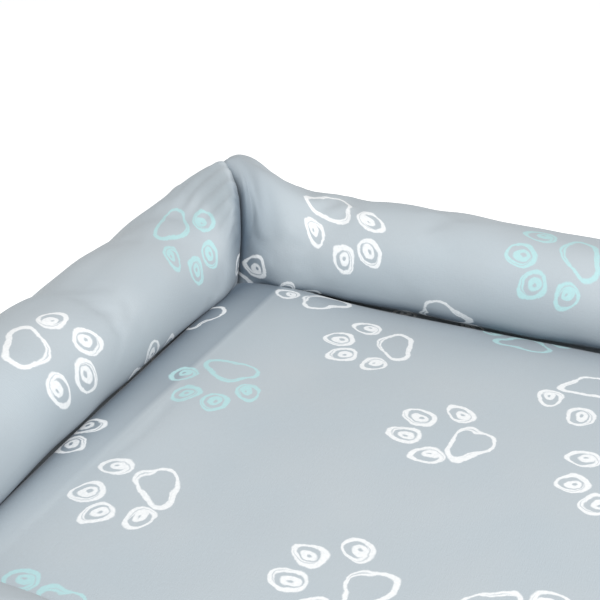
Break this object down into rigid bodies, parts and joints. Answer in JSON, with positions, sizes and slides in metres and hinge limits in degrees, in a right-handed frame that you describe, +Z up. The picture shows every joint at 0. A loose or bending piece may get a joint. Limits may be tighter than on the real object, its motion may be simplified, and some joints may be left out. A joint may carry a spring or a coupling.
{
  "type": "pet cushion bed",
  "caption": "Rectangular pet bed: stuffed fabric walls with raised pinched corners on a flat base, round a loose zipped cushion that lifts out.",
  "frame": {"origin": "middle of the bed's underside, on the surface that it stands on", "axes": "+X along the long side, +Y towards the back wall, +Z up"},
  "size_m": [0.8994, 0.6994, 0.179],
  "materials": {
    "wall_fabric": "matte",
    "cushion_fabric": "matte",
    "lining_fabric": "matte",
    "base_fabric": "matte",
    "stuffing": "matte",
    "inner_case": "matte",
    "zip_tape": "matte",
    "zip_teeth": "satin",
    "zip_metal": "satin",
    "label": "matte"
  },
  "bodies": {
    "bed": {"base_bottom_sheet": "base_fabric", "base_wadding": "stuffing", "base_lining": "lining_fabric", "back_bolster_cover": "wall_fabric", "left_bolster_cover": "wall_fabric", "right_bolster_cover": "wall_fabric", "front_bolster_cover": "wall_fabric", "back_bolster_fill": "stuffing", "left_bolster_fill": "stuffing", "right_bolster_fill": "stuffing", "front_bolster_fill": "stuffing"},
    "cushion": {"cushion_top_panel": "cushion_fabric", "cushion_bottom_panel": "cushion_fabric", "inner_case_top": "inner_case", "inner_case_bottom": "inner_case", "cushion_fill": "stuffing", "zip_tape_upper": "zip_tape", "zip_tape_lower": "zip_tape", "zip_coil_upper": "zip_teeth", "zip_coil_lower": "zip_teeth", "zip_top_stop": "zip_metal", "zip_bottom_stop": "zip_metal", "care_label": "label"},
    "zip_slider": {"zip_slider": "zip_metal"},
    "zip_pull": {"zip_pull": "zip_metal"}
  },
  "joints": [
    {"name": "cushion_lift", "type": "slide", "parent": "bed", "child": "cushion", "axis": [0, 0, 1], "range_m": [0, 0.3]},
    {"name": "zip_slide", "type": "slide", "parent": "cushion", "child": "zip_slider", "axis": [-1, 0, 0], "range_m": [0, 0.466]},
    {"name": "zip_pull_swing", "type": "hinge", "parent": "zip_slider", "child": "zip_pull", "pos_m": [0.233, 0.2291, 0.0333], "axis": [0, 0, 1], "range_deg": [0, 180]}
  ]
}
